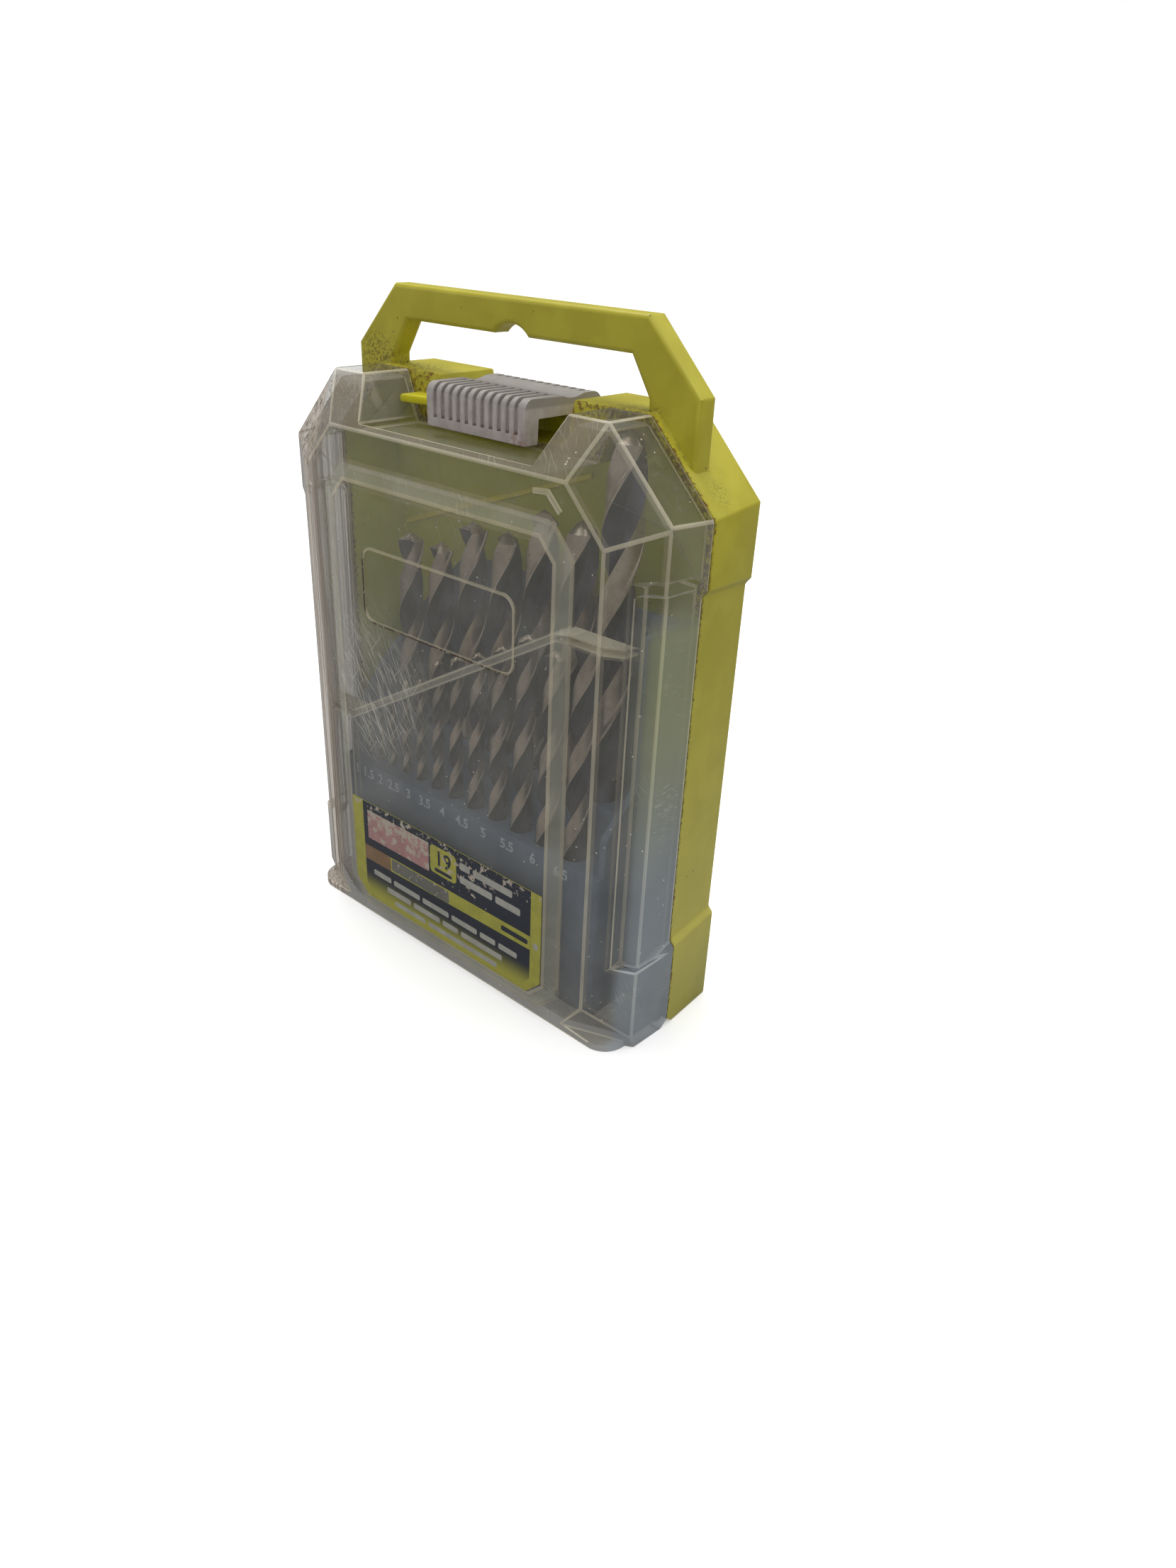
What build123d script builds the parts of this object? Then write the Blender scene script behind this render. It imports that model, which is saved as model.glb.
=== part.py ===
"""Drill bit case: a clear cover and a tray with a handle, a latch, and a rack of twist drills."""

import math
import os

from build123d import *

os.makedirs("parts", exist_ok=True)

# ---------------------------------------------------------------- driving dimensions (mm, degrees)

# Case outline, seen from the front
half_width = 64.0
shoulder_z = 138.0
horn_top_z = 157.1
horn_outer_x = 45.2
horn_inner_x = 33.8
recess_x = 29.5
recess_z = 146.2

# Depths, measured from the parting plane
border_depth = 21.4
plateau_rise = 1.5
bevel_start_depth = 14.4
shell_depth = 20.0
parting_gap = 0.3

# Walls and draft
cover_wall = 2.0
shell_wall = 2.0
cover_draft = 0.8
shell_draft = 1.1
back_edge_chamfer = 1.2

# One full turn
full_turn = 360.0

# Bevels of the cover, where they meet its front face
front_half_width = 51.2
front_shoulder_z = 132.7
front_horn_x = 39.8
front_horn_z = 144.8
corner_high_z = 10.8
corner_low_x = 43.1
corner_low_z = 0.9
corner_back_z = 3.8

# Raised panel on the cover
plateau_half_width = 43.0
plateau_top_z = 136.8
plateau_top_x = 36.0
plateau_shoulder_z = 129.0
plateau_low_z = 10.3
plateau_bottom_x = 35.5
plateau_bottom_z = 3.0
plateau_bevel = 4.2

# Raised frame on the panel
badge_width = 54.8
badge_height = 20.2
badge_z = 107.1
badge_radius = 4.0
badge_line = 0.7
badge_rise = 0.4

# Waist in both side walls
waist_bottom_z = 27.8
waist_top_z = 120.9
waist_inset = 1.5
waist_flare = 2.7
pocket_front_x = 56.5
pocket_inset_y = 2.4
cover_waist_turn = 0.5

# Shelf inside the cover that keeps the drills down
shelf_thickness = 1.8
shelf_back_depth = 12.4
shelf_low_z = 65.2
shelf_low_x = -40.6
shelf_high_z = 110.2
shelf_high_x = 36.8

# Foot plate and catch on the cover
foot_thickness = 2.0
foot_half_width = 61.0
foot_corner_radius = 7.0
catch_half_width = 12.5
catch_thickness = 2.4
catch_height = 5.4
catch_back_depth = 1.8

# Bent bead on the cover's right shoulder
bead_start_x = 31.0
bead_start_z = 141.6
bead_bend_x = 35.2
bead_bend_z = 142.0
bead_end_x = 39.0
bead_end_z = 138.2
bead_width = 1.2
bead_rise = 0.5

# Cover hinge
hinge_z = 2.3
knuckle_radius = 2.15
hinge_pin_radius = 0.9
running_clearance = 0.06
knuckle_clearance = 0.4
knuckle_end_gap = 0.3
hinge_inset = 13.5
inner_knuckle_length = 3.4
cover_knuckle_length = 4.2
outer_knuckle_length = 2.6
groove_half_angle = 50.0

# Handle, one piece with the shell
handle_half_width = 56.0
handle_shoulder_z = 161.3
handle_top_x = 41.0
handle_top_z = 176.5
handle_inner_x = 42.0
handle_inner_shoulder_z = 159.5
handle_inner_top_x = 36.5
handle_under_z = 168.2
handle_front_depth = 2.0
handle_thickness = 6.0
handle_round = 1.2
notch_radius = 7.3
notch_height = 2.5

# Upper edge of the shell
shell_recess_floor_x = 20.3
shell_recess_top_x = 22.5
tongue_top_z = 152.0
tongue_thickness = 2.0
tongue_tip_x = -30.2
tongue_tip_depth = 6.2
tongue_end_x = -17.3
tongue_end_depth = 3.2
tongue_root = 1.0

# Latch
latch_half_width = 16.5
latch_front_depth = 9.5
latch_back = 17.0
latch_top_z = 157.0
latch_cap = 4.5
latch_lip = 4.5
latch_lip_gap = 0.5
latch_cheek = 4.3
latch_round = 2.6
latch_back_round = 3.2
latch_axis_y = 13.5
latch_axis_z = 149.8
latch_boss_radius = 3.1
latch_knuckle_radius = 2.4
latch_web_half = 2.4
latch_side_gap = 0.6
trunnion_radius = 1.4
trunnion_length = 3.7
groove_count = 11
groove_width = 1.3
groove_pitch = 2.72
groove_depth = 0.8
groove_bottom_z = 149.0
groove_back_depth = 1.0
rear_groove_length = 4.0
rear_groove_start = 11.6
dish_depth = 0.8
dish_length = 8.0
dish_middle = 6.4

# Rack
rack_side_gap = 14.0
rack_front_depth = 15.8
rack_back = 9.4
rack_bottom_z = 3.9
rack_front_top_z = 47.5
rack_rear_top_z = 62.0
rack_step_depth = 7.0
cheek_thickness = 2.0
cheek_front_z = 58.0
cheek_slope_depth = 13.3
cheek_middle_z = 74.0
cheek_back_z = 81.5
support_step_z = 68.0
support_top_z = 108.0
support_front_depth = 2.0
support_back = 16.6
rack_panel_thickness = 1.5
rack_panel_low_z = 82.0
rack_panel_high_z = 110.0
rack_panel_slope = 28.0
rack_rib = 2.0
rack_pockets = 6
rack_pocket_floor = 3.0
rack_pocket_depth = 3.2

# Rack pivot
rack_axis_y = 3.5
rack_axis_z = 7.6
rack_pin_radius = 1.6
rack_hub_radius = 2.6
rack_boss_radius = 3.0
rack_boss_length = 3.4
rack_hub_gap = 0.4
rack_pin_end_gap = 0.6

# Drills
front_row_count = 12
first_bit_inset = 5.7
last_bit_inset = 12.35
front_row_depth = 10.7
rear_row_depth = 1.2
row_level_z = 47.0
bit_lean = 2.0
rear_row_start_inset = 13.6
rear_row_end_inset = 12.3
hole_clearance = 0.08
hole_floor_gap = 0.1
front_row_high_z = 24.0
front_row_low_z = 6.0
rear_row_base_z = 5.3
last_bit_base_z = 20.0
helix_pitch_ratio = 6.2
twist_step = 45.0
web_ratio = 0.34
land_half_angle = 36.0
flute_angle = 84.0
point_angle = 118.0
chisel_ratio = 0.12

# Label on the panel
label_half_width = 38.0
label_bottom_z = 7.7
label_top_z = 40.5
label_corner = 5.0
label_thickness = 0.2

# ---------------------------------------------------------------- derived values

front_reach = border_depth + plateau_rise + badge_rise
parting_y = (front_reach - shell_depth) / 2
cover_back_y = parting_y - parting_gap / 2
shell_front_y = parting_y + parting_gap / 2
border_y = parting_y - border_depth
panel_y = border_y - plateau_rise
back_y = parting_y + shell_depth
bevel_y = parting_y - bevel_start_depth
bevel_half_width = half_width - cover_draft
hinge_start_x = half_width - hinge_inset
rack_half_width = half_width - rack_side_gap
lying_along_x = (0, full_turn / 4, 0)


def at_y(y):
    """Plane facing the front, at depth y."""
    return Plane.XZ.offset(-y)


def through(a, b, c):
    """Plane through three points, facing right-handed round them."""
    start = Vector(*a)
    normal = (Vector(*b) - start).cross(Vector(*c) - start)
    return Plane(origin=start, z_dir=normal)


def mirrored(plane):
    """The same plane on the left side."""
    start = plane.origin
    normal = plane.z_dir
    return Plane(origin=(-start.X, start.Y, start.Z), z_dir=(-normal.X, normal.Y, normal.Z))


def both_sides(points):
    """Closed outline from the points of its right half, listed from the top down."""
    return points + [(-x, z) for x, z in reversed(points)]


# ---------------------------------------------------------------- outlines and bevel planes

cover_half = [
    (recess_x, recess_z),
    (horn_inner_x, horn_top_z),
    (horn_outer_x, horn_top_z),
    (half_width, shoulder_z),
    (half_width, 0),
]
shell_half = [
    (shell_recess_floor_x, recess_z),
    (shell_recess_top_x, horn_top_z),
    (horn_outer_x, horn_top_z),
    (half_width, shoulder_z),
    (half_width, 0),
]
plateau_half = [
    (plateau_top_x, plateau_top_z),
    (plateau_half_width, plateau_shoulder_z),
    (plateau_half_width, plateau_low_z),
    (plateau_bottom_x, plateau_bottom_z),
]

draft_plane = through(
    (half_width, parting_y, 0),
    (bevel_half_width, bevel_y, 0),
    (half_width, parting_y, shoulder_z),
)
side_bevel = through(
    (bevel_half_width, bevel_y, 0),
    (front_half_width, border_y, 0),
    (bevel_half_width, bevel_y, shoulder_z),
)
shoulder_bevel = through(
    (bevel_half_width, bevel_y, shoulder_z),
    (front_half_width, border_y, front_shoulder_z),
    (horn_outer_x, bevel_y, horn_top_z),
)
corner_bevel = through(
    (bevel_half_width, bevel_y, corner_back_z),
    (corner_low_x, border_y, corner_low_z),
    (front_half_width, border_y, corner_high_z),
)
horn_bevel = through(
    (0, bevel_y, horn_top_z),
    (0, border_y, front_horn_z),
    (-horn_outer_x, bevel_y, horn_top_z),
)
side_planes = [draft_plane, side_bevel, shoulder_bevel, corner_bevel]
cover_planes = [horn_bevel] + side_planes + [mirrored(plane) for plane in side_planes]
shell_draft_plane = through(
    (half_width, parting_y, 0),
    (half_width, parting_y, shoulder_z),
    (half_width - shell_draft, back_y, 0),
)
shell_planes = [shell_draft_plane, mirrored(shell_draft_plane)]


# ---------------------------------------------------------------- tools shared by both halves

groove_half_width = hinge_z * math.tan(math.radians(groove_half_angle))
waist_x = half_width - waist_inset
pocket_corner_x = waist_x - cover_draft
pocket_corner_y = bevel_y + pocket_inset_y
pocket_floor_x = pocket_front_x + waist_inset
bevel_slope = (border_depth - bevel_start_depth) / (bevel_half_width - front_half_width)
pocket_floor_y = pocket_corner_y - (pocket_corner_x - pocket_floor_x) * bevel_slope


def waist_cut(wall, end_turn):
    """What the waist takes off one side wall, grown inwards by the wall."""
    low_end = Plane(origin=(waist_x - wall, parting_y, waist_bottom_z - wall), z_dir=(1, -end_turn, 1))
    high_end = Plane(origin=(waist_x - wall, parting_y, waist_top_z + wall), z_dir=(1, -end_turn, -1))
    with BuildPart() as tool:
        with BuildSketch(Plane.XY.offset(waist_bottom_z - waist_flare - wall)):
            with BuildLine():
                Polyline(
                    (pocket_front_x - wall, border_y),
                    (pocket_floor_x - wall, pocket_floor_y + wall),
                    (pocket_corner_x - wall, pocket_corner_y + wall),
                    (waist_x - wall, parting_y),
                    (waist_x - shell_draft - wall, back_y),
                    (half_width + waist_flare, back_y),
                    (half_width + waist_flare, border_y),
                    close=True,
                )
            make_face()
        extrude(amount=waist_top_z - waist_bottom_z + 2 * waist_flare + 2 * wall)
        split(bisect_by=low_end, keep=Keep.TOP)
        split(bisect_by=high_end, keep=Keep.TOP)
    return tool.part


def case_form(half, wall, near_y, far_y, planes, end_turn):
    """Solid of one half's outline between two depths, inside its bevel planes, inset by the wall."""
    waist = waist_cut(wall, end_turn)
    with BuildPart() as form:
        with BuildSketch(at_y(near_y)):
            with BuildLine():
                Polyline(*both_sides(half), close=True)
            make_face()
            if wall:
                offset(amount=-wall, kind=Kind.INTERSECTION)
        extrude(amount=near_y - far_y)
        for plane in planes:
            split(bisect_by=plane.offset(wall), keep=Keep.TOP)
        for side in (waist, mirror(waist, about=Plane.YZ)):
            add(side, mode=Mode.SUBTRACT)
    return form.part


def cover_form(wall, near_y, far_y):
    """The cover's outer form, inset by the wall."""
    return case_form(cover_half, wall, near_y, far_y, cover_planes, cover_waist_turn)


def panel_form(wall):
    """The raised panel on the cover, moved back and narrowed by the wall."""
    with BuildPart() as form:
        for y, inset in ((border_y + wall, wall), (panel_y + wall, plateau_bevel + wall)):
            with BuildSketch(at_y(y)):
                with BuildLine():
                    Polyline(*both_sides(plateau_half), close=True)
                make_face()
                if inset:
                    offset(amount=-inset, kind=Kind.INTERSECTION)
        loft(ruled=True)
    return form.part


inner_knuckle_x = hinge_start_x + inner_knuckle_length / 2
cover_knuckle_start = hinge_start_x + inner_knuckle_length + knuckle_end_gap
cover_knuckle_x = cover_knuckle_start + cover_knuckle_length / 2
outer_knuckle_start = cover_knuckle_start + cover_knuckle_length + knuckle_end_gap
outer_knuckle_x = outer_knuckle_start + outer_knuckle_length / 2
hinge_end_x = outer_knuckle_start + outer_knuckle_length
hinge_middle_x = (hinge_start_x + hinge_end_x) / 2
hinge_length = hinge_end_x - hinge_start_x
cover_knuckles = [(cover_knuckle_x, cover_knuckle_length)]
shell_knuckles = [(inner_knuckle_x, inner_knuckle_length), (outer_knuckle_x, outer_knuckle_length)]

with BuildPart() as hinge_groove:
    with BuildSketch(Plane.YZ.offset(-half_width)):
        with BuildLine():
            Polyline(
                (parting_y, hinge_z),
                (parting_y + groove_half_width, 0),
                (parting_y - groove_half_width, 0),
                close=True,
            )
        make_face()
    extrude(amount=2 * half_width)


def rods(spans, y, z, radius, extra, mode):
    """Cylinders along X at both ends of the case, each span given as (middle, length)."""
    for x, length in spans:
        with Locations((x, y, z), (-x, y, z)):
            Cylinder(radius, length + 2 * extra, rotation=lying_along_x, mode=mode)


def hinge_half(own, others):
    """One half's share of the cover hinge, cut and added in the part that is open."""
    room = knuckle_radius + knuckle_clearance
    add(hinge_groove.part, mode=Mode.SUBTRACT)
    rods(others, parting_y, hinge_z, room, knuckle_end_gap, Mode.SUBTRACT)
    rods(own, parting_y, hinge_z, knuckle_radius, 0, Mode.ADD)
    bore = hinge_pin_radius + running_clearance
    rods([(hinge_middle_x, hinge_length)], parting_y, hinge_z, bore, 0, Mode.SUBTRACT)


# ---------------------------------------------------------------- front cover

with BuildPart() as shelf:
    shelf_line = [
        (-half_width, shelf_low_z),
        (shelf_low_x, shelf_low_z),
        (shelf_high_x, shelf_high_z),
        (half_width, shelf_high_z),
    ]
    shelf_underside = [(x, z - shelf_thickness) for x, z in reversed(shelf_line)]
    with BuildSketch(at_y(parting_y - shelf_back_depth)):
        with BuildLine():
            Polyline(*shelf_line, *shelf_underside, close=True)
        make_face()
    extrude(amount=border_depth - shelf_back_depth)
    room = cover_form(cover_wall / 2, cover_back_y, border_y + cover_wall / 2)
    add(room, mode=Mode.INTERSECT)

with BuildPart() as front_cover:
    add(cover_form(0, cover_back_y, border_y))
    add(panel_form(0))

    # Hollow inside
    add(cover_form(cover_wall, parting_y, border_y + cover_wall), mode=Mode.SUBTRACT)
    add(panel_form(cover_wall), mode=Mode.SUBTRACT)
    add(shelf.part)

    # Foot plate with round front corners
    with BuildSketch(Plane.XY) as foot:
        with Locations((0, (border_y + cover_back_y) / 2)):
            Rectangle(2 * foot_half_width, cover_back_y - border_y)
        fillet(foot.vertices().group_by(Axis.Y)[0], foot_corner_radius)
    extrude(amount=foot_thickness)

    # Raised frame on the panel
    with BuildSketch(at_y(panel_y)):
        with Locations((0, badge_z)):
            RectangleRounded(badge_width, badge_height, badge_radius)
            RectangleRounded(
                badge_width - 2 * badge_line,
                badge_height - 2 * badge_line,
                badge_radius - badge_line,
                mode=Mode.SUBTRACT,
            )
    extrude(amount=badge_rise)

    # Bent bead on the right shoulder
    with BuildSketch(at_y(border_y)):
        with BuildLine() as bead:
            Polyline((bead_start_x, bead_start_z), (bead_bend_x, bead_bend_z), (bead_end_x, bead_end_z))
        trace(bead.line, bead_width)
    extrude(amount=bead_rise)

    # Catch for the latch
    with BuildSketch(Plane.XY.offset(recess_z - cover_wall / 2)):
        with Locations((0, parting_y - catch_back_depth - catch_thickness / 2)):
            Rectangle(2 * catch_half_width, catch_thickness)
    extrude(amount=catch_height + cover_wall / 2)

    hinge_half(cover_knuckles, shell_knuckles)

front_cover.part.label = "front_cover"
export_step(front_cover.part, "parts/front_cover.step")

# ---------------------------------------------------------------- back shell with its handle

latch_y = parting_y + latch_axis_y
knuckle_half_length = latch_half_width - latch_cheek - latch_side_gap
rack_y = parting_y + rack_axis_y
rack_boss_end_x = half_width - shell_wall
rack_boss_start_x = rack_boss_end_x - rack_boss_length
rack_boss_x = (rack_boss_start_x + rack_boss_end_x) / 2

with BuildPart() as handle:
    with BuildSketch(at_y(parting_y + handle_front_depth)) as handle_face:
        with BuildLine():
            Polyline(
                *both_sides(
                    [
                        (handle_top_x, handle_top_z),
                        (handle_half_width, handle_shoulder_z),
                        (handle_half_width, shoulder_z),
                    ]
                ),
                close=True,
            )
        make_face()
        with BuildLine():
            Polyline(
                *both_sides(
                    [
                        (handle_inner_top_x, handle_under_z),
                        (handle_inner_x, handle_inner_shoulder_z),
                        (handle_inner_x, shoulder_z),
                    ]
                ),
                close=True,
            )
        make_face(mode=Mode.SUBTRACT)
        with Locations((0, handle_under_z + notch_height - notch_radius)):
            Circle(notch_radius, mode=Mode.SUBTRACT)
    extrude(amount=-handle_thickness)
    rims = handle.faces().sort_by(Axis.Y)
    fillet(rims[0].edges() + rims[-1].edges(), handle_round)

with BuildPart() as back_shell:
    add(case_form(shell_half, 0, shell_front_y, back_y, shell_planes, 0))
    chamfer(back_shell.faces().sort_by(Axis.Y)[-1].outer_wire().edges(), back_edge_chamfer)
    add(handle.part)

    # Hollow inside
    hollow = case_form(cover_half, shell_wall, parting_y, back_y - shell_wall, shell_planes, 0)
    add(hollow, mode=Mode.SUBTRACT)

    # Tongue beside the latch
    with BuildSketch(Plane.XY.offset(tongue_top_z - tongue_thickness)):
        with BuildLine():
            Polyline(
                (tongue_tip_x, parting_y - tongue_tip_depth),
                (tongue_end_x, parting_y - tongue_end_depth),
                (tongue_end_x, parting_y + tongue_root),
                (tongue_tip_x, parting_y + tongue_root),
                close=True,
            )
        make_face()
    extrude(amount=tongue_thickness)

    # Knuckle and web that the latch turns on
    with BuildSketch(Plane.XY.offset(recess_z - shell_wall / 2)):
        with Locations((0, latch_y)):
            Rectangle(2 * knuckle_half_length, 2 * latch_web_half)
    extrude(amount=latch_axis_z - recess_z + shell_wall / 2)
    with Locations((0, latch_y, latch_axis_z)):
        Cylinder(latch_knuckle_radius, 2 * knuckle_half_length, rotation=lying_along_x)
        Cylinder(
            trunnion_radius + running_clearance,
            2 * knuckle_half_length,
            rotation=lying_along_x,
            mode=Mode.SUBTRACT,
        )

    # Bosses that the rack turns in
    rods([(rack_boss_x, rack_boss_length)], rack_y, rack_axis_z, rack_boss_radius, 0, Mode.ADD)
    rack_bore = rack_pin_radius + running_clearance
    rods([(rack_boss_x, rack_boss_length)], rack_y, rack_axis_z, rack_bore, 0, Mode.SUBTRACT)

    hinge_half(shell_knuckles, cover_knuckles)

back_shell.part.label = "back_shell"
export_step(back_shell.part, "parts/back_shell.step")

# ---------------------------------------------------------------- cover hinge pins

with BuildPart() as hinge_pins:
    pin_length = hinge_length - 2 * knuckle_end_gap
    rods([(hinge_middle_x, pin_length)], parting_y, hinge_z, hinge_pin_radius, 0, Mode.ADD)

hinge_pins.part.label = "hinge_pins"
export_step(hinge_pins.part, "parts/hinge_pins.step")

# ---------------------------------------------------------------- latch

lip_y = parting_y - latch_front_depth
latch_back_y = parting_y + latch_back
dish_y = parting_y + dish_middle
cap_under_z = latch_top_z - latch_cap
lip_bottom_z = recess_z + latch_lip_gap
trunnion_x = knuckle_half_length + latch_side_gap - trunnion_length / 2


def latch_side():
    """Side view of the latch's cap and lip."""
    with BuildSketch(Plane.YZ) as profile:
        with BuildLine():
            Polyline(
                (dish_y + dish_length / 2, latch_top_z),
                (latch_back_y, latch_top_z),
                (latch_back_y, cap_under_z),
                (lip_y + latch_lip, cap_under_z),
                (lip_y + latch_lip, lip_bottom_z),
                (lip_y, lip_bottom_z),
                (lip_y, latch_top_z),
                (dish_y - dish_length / 2, latch_top_z),
            )
            ThreePointArc(
                (dish_y - dish_length / 2, latch_top_z),
                (dish_y, latch_top_z - dish_depth),
                (dish_y + dish_length / 2, latch_top_z),
            )
        make_face()
        fillet(profile.vertices().group_by(Axis.Y)[-1].sort_by(Axis.X)[0], latch_round)
        fillet(profile.vertices().group_by(Axis.Y)[-1].sort_by(Axis.X)[-1], latch_back_round)
    return profile.sketch_local


def skin_strip(low_y, high_y, low_z):
    """The part of the latch's outer skin that a row of grooves takes."""
    inner_y = lip_y + latch_lip - 2 * groove_depth
    inner_z = cap_under_z + 2 * groove_depth
    with BuildSketch(Plane.YZ) as strip:
        add(latch_side())
        offset(amount=-groove_depth, mode=Mode.SUBTRACT)
        with Locations(((low_y + high_y) / 2, (low_z + latch_top_z) / 2)):
            Rectangle(high_y - low_y, latch_top_z - low_z, mode=Mode.INTERSECT)
        with Locations(((inner_y + latch_back_y) / 2, (lip_bottom_z + inner_z) / 2)):
            Rectangle(latch_back_y - inner_y, inner_z - lip_bottom_z, mode=Mode.SUBTRACT)
    return strip.sketch_local


with BuildPart() as latch:
    with BuildSketch(Plane.YZ):
        add(latch_side())
    extrude(amount=latch_half_width, both=True)

    # Cheeks round the pivot
    with BuildSketch(Plane.YZ.offset(-latch_half_width)) as cheek:
        with Locations((latch_y, latch_axis_z)):
            Circle(latch_boss_radius)
        with Locations((latch_y, (latch_axis_z + cap_under_z) / 2)):
            Rectangle(2 * latch_boss_radius, cap_under_z - latch_axis_z)
    extrude(amount=latch_cheek)
    with BuildSketch(Plane.YZ.offset(latch_half_width)):
        add(cheek.sketch_local)
    extrude(amount=-latch_cheek)
    rods([(trunnion_x, trunnion_length)], latch_y, latch_axis_z, trunnion_radius, 0, Mode.ADD)

    # Finger grooves over the front edge, and short ones at the back
    row = GridLocations(groove_pitch, 1, groove_count, 1)
    front_strip = skin_strip(lip_y, parting_y + groove_back_depth, groove_bottom_z)
    rear_start_y = parting_y + rear_groove_start
    rear_strip = skin_strip(rear_start_y, rear_start_y + rear_groove_length, cap_under_z)
    for place in row.locations:
        for strip in (front_strip, rear_strip):
            with BuildSketch(Plane.YZ.offset(place.position.X)):
                add(strip)
            extrude(amount=groove_width / 2, both=True, mode=Mode.SUBTRACT)

latch.part.label = "latch"
export_step(latch.part, "parts/latch.step")

# ---------------------------------------------------------------- drills

lengths = {
    1.0: (34, 12),
    1.5: (40, 18),
    2.0: (49, 24),
    2.5: (57, 30),
    3.0: (61, 33),
    3.5: (70, 39),
    4.0: (75, 43),
    4.5: (80, 47),
    5.0: (86, 52),
    5.5: (93, 57),
    6.0: (93, 57),
    6.5: (101, 63),
    7.0: (109, 69),
    7.5: (109, 69),
    8.0: (117, 75),
    8.5: (117, 75),
    9.0: (125, 81),
    9.5: (125, 81),
    10.0: (133, 87),
}
sizes = list(lengths)
front_sizes = sizes[:front_row_count]
rear_sizes = sizes[front_row_count:]
rack_width = 2 * rack_half_width
front_row_pitches = [(size + larger) / 2 for size, larger in zip(front_sizes, front_sizes[1:])]
front_row_room = rack_width - first_bit_inset - last_bit_inset - sum(front_row_pitches)
bit_gap = front_row_room / len(front_row_pitches)
rear_row_pitch = (rack_width - rear_row_start_inset - rear_row_end_inset) / (len(rear_sizes) - 1)
lean = math.radians(bit_lean)


def bit_plane(x, depth, base_z):
    """Plane across a drill's axis at its lower end."""
    base_y = parting_y - depth + (base_z - row_level_z) * math.tan(lean)
    return Plane(origin=(x, base_y, base_z), x_dir=(1, 0, 0), z_dir=(0, math.sin(lean), math.cos(lean)))


places = {}
x = first_bit_inset - rack_half_width
for number, size in enumerate(front_sizes):
    if number:
        x += front_row_pitches[number - 1] + bit_gap
    base_z = front_row_high_z + (front_row_low_z - front_row_high_z) * number / (len(front_sizes) - 1)
    places[size] = bit_plane(x, front_row_depth, base_z)
for number, size in enumerate(rear_sizes):
    base_z = last_bit_base_z if size == rear_sizes[-1] else rear_row_base_z
    x = rear_row_start_inset - rack_half_width + rear_row_pitch * number
    places[size] = bit_plane(x, rear_row_depth, base_z)


def flute_ring(plane, height, radius, turn):
    """Corners of a drill's cross-section at one height: two lands and two flutes."""
    ring = []
    for half_turn in (0, full_turn / 2):
        for reach, angle in (
            (radius, -land_half_angle),
            (radius, 0),
            (radius, land_half_angle),
            (web_ratio * radius, flute_angle),
        ):
            heading = math.radians(angle + half_turn + turn)
            corner = Vector(reach * math.cos(heading), reach * math.sin(heading), height)
            ring.append(plane.from_local_coords(corner))
    return ring


def flat_sided(rings):
    """Solid with flat facets through rings of corners, each turned against the one below."""
    facets = [Face(Wire.make_polygon(rings[0])), Face(Wire.make_polygon(rings[-1]))]
    for low, high in zip(rings, rings[1:]):
        for corner in range(len(low)):
            a, b = low[corner - 1], low[corner]
            c, d = high[corner], high[corner - 1]
            facets.append(Face(Wire.make_polygon([a, b, d])))
            facets.append(Face(Wire.make_polygon([b, c, d])))
    return Solid(Shell(facets))


def twist_drill(size):
    """A straight-shank twist drill standing on its plane."""
    length, flute_length = lengths[size]
    base = places[size]
    radius = size / 2
    point_height = radius / math.tan(math.radians(point_angle / 2))
    flute_start = length - flute_length
    body_length = flute_length - point_height
    twist = full_turn * body_length / (helix_pitch_ratio * size)
    steps = math.ceil(twist / twist_step)
    rings = []
    for step in range(steps + 1):
        height = flute_start + body_length * step / steps
        rings.append(flute_ring(base, height, radius, twist * step / steps))
    rings.append(flute_ring(base, length, chisel_ratio * radius, twist))
    with BuildPart() as drill:
        with BuildSketch(base):
            Circle(radius)
        extrude(amount=flute_start)
        add(flat_sided(rings))
    return drill.part


for size in sizes:
    drill = twist_drill(size)
    name = f"drill_bit_{size:.1f}".replace(".", "_")
    drill.label = name
    export_step(drill, f"parts/{name}.step")

# ---------------------------------------------------------------- rack

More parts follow.
